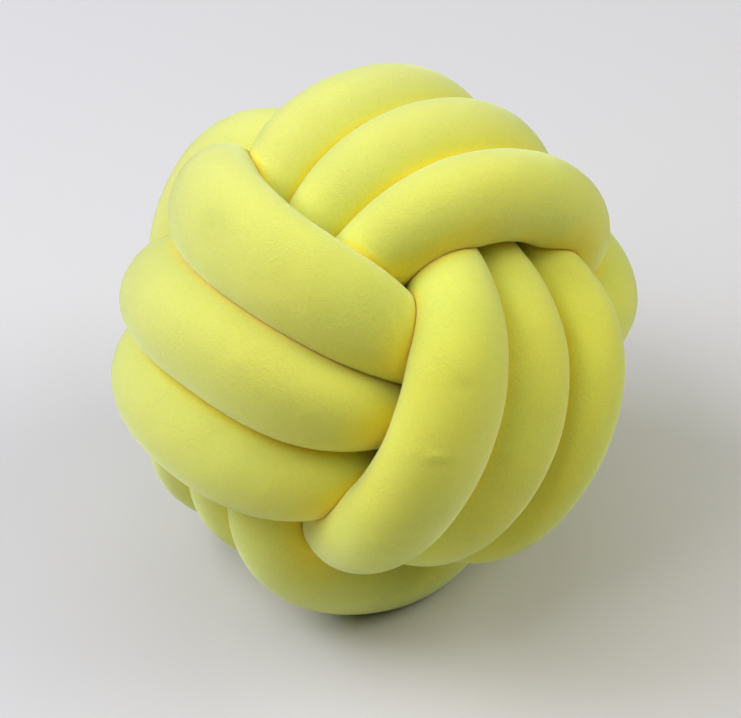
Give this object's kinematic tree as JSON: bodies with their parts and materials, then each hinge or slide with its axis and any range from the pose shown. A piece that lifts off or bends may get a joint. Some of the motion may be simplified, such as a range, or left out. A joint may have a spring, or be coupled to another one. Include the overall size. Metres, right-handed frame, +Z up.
{
  "type": "knot cushion",
  "caption": "Round knot cushion: a stuffed plush tube wound in crossing bands of parallel turns that pass over and under each other and close into a ball.",
  "frame": {"origin": "middle of the underside of the ball's bounding box, on the surface that the ball lies on", "axes": "+Z up; the corner where the three front bands meet looks up and towards -Y; +X to the right of someone who faces it"},
  "size_m": [0.2574, 0.279, 0.2484],
  "materials": {
    "plush": "short soft plush pile with a faint sheen, warm lemon yellow"
  },
  "bodies": {
    "root": {"knot_ball": "plush"}
  },
  "joints": []
}
